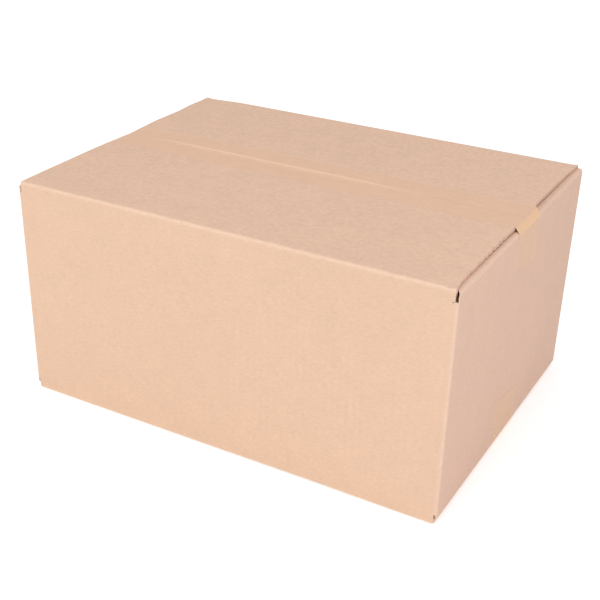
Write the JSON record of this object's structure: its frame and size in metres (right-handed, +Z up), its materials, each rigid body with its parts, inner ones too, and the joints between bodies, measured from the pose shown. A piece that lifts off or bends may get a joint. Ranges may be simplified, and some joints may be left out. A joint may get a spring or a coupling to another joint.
{
  "type": "closed cardboard box",
  "caption": "Closed slotted carton folded from one sheet of corrugated board, its top and bottom seams sealed with clear tape that runs down both ends.",
  "frame": {"origin": "on the floor, under the middle of the carton", "axes": "+Z up; X along the side panels and the taped seams, with the end panel that the picture shows at +X; Y along the end panels, with the large panel that the picture shows at -Y"},
  "size_m": [0.4002, 0.291, 0.2061],
  "materials": {
    "board": "plain brown kraft liner with fine fibres and faint flute lines",
    "tape": "clear amber packing tape, thin and softly glossy"
  },
  "bodies": {
    "root": {"carton": "board", "top_tape": "tape", "bottom_tape": "tape"}
  },
  "joints": []
}
